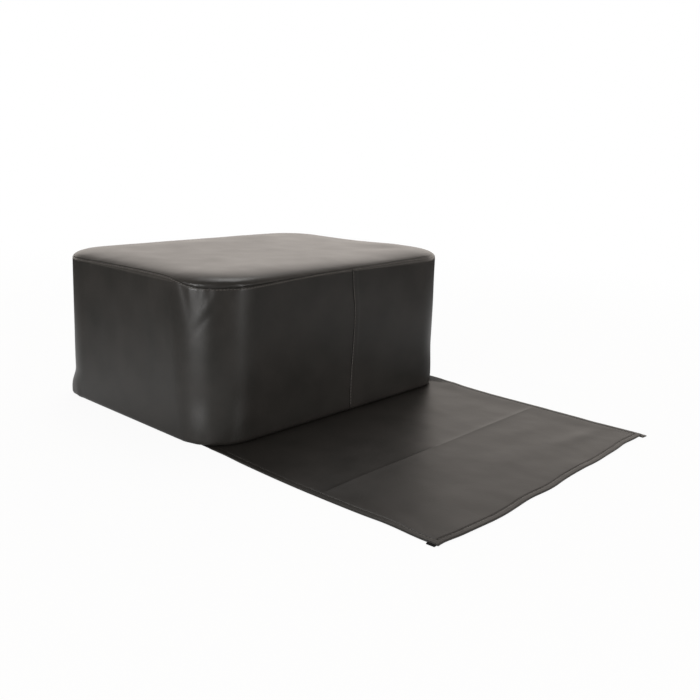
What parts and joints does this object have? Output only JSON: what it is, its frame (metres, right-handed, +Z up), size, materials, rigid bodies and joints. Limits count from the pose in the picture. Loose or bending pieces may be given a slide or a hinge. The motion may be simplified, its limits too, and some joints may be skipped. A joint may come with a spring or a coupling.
{
  "type": "child barber booster cushion",
  "caption": "Leather-covered box cushion that raises a child on a barber chair, with a flat hinged and creased flap that protects the chair seat.",
  "frame": {"origin": "middle of the box's underside, on the surface that it stands on", "axes": "+X along the width, the front and the flap face -Y, +Z up"},
  "size_m": [0.3914, 0.5642, 0.17],
  "materials": {
    "leather": "satin",
    "thread": "satin",
    "foam": "matte",
    "plywood": "matte",
    "dust_cloth": "matte",
    "staple_wire": "satin"
  },
  "bodies": {
    "cushion": {"base_board": "plywood", "foam_core": "foam", "foam_topper": "foam", "cover_top": "leather", "cover_band_left": "leather", "cover_band_right": "leather", "top_seam_thread": "thread", "front_seam_thread": "thread", "back_seam_thread": "thread", "cover_staples": "staple_wire", "dust_cover": "dust_cloth", "dust_cover_staples": "staple_wire", "flap_root": "leather", "flap_staples": "staple_wire"},
    "inner_flap": {"flap_inner": "leather", "flap_inner_thread": "thread"},
    "outer_flap": {"flap_outer": "leather", "flap_outer_thread": "thread"}
  },
  "joints": [
    {"name": "flap_hinge", "type": "hinge", "parent": "cushion", "child": "inner_flap", "pos_m": [0.0035, -0.1475, 0.0005], "axis": [-1, 0, 0], "range_deg": [-90, 90]},
    {"name": "flap_crease", "type": "hinge", "parent": "inner_flap", "child": "outer_flap", "pos_m": [0.0035, -0.2835, -0.00015], "axis": [1, 0, 0], "range_deg": [0, 175]}
  ]
}
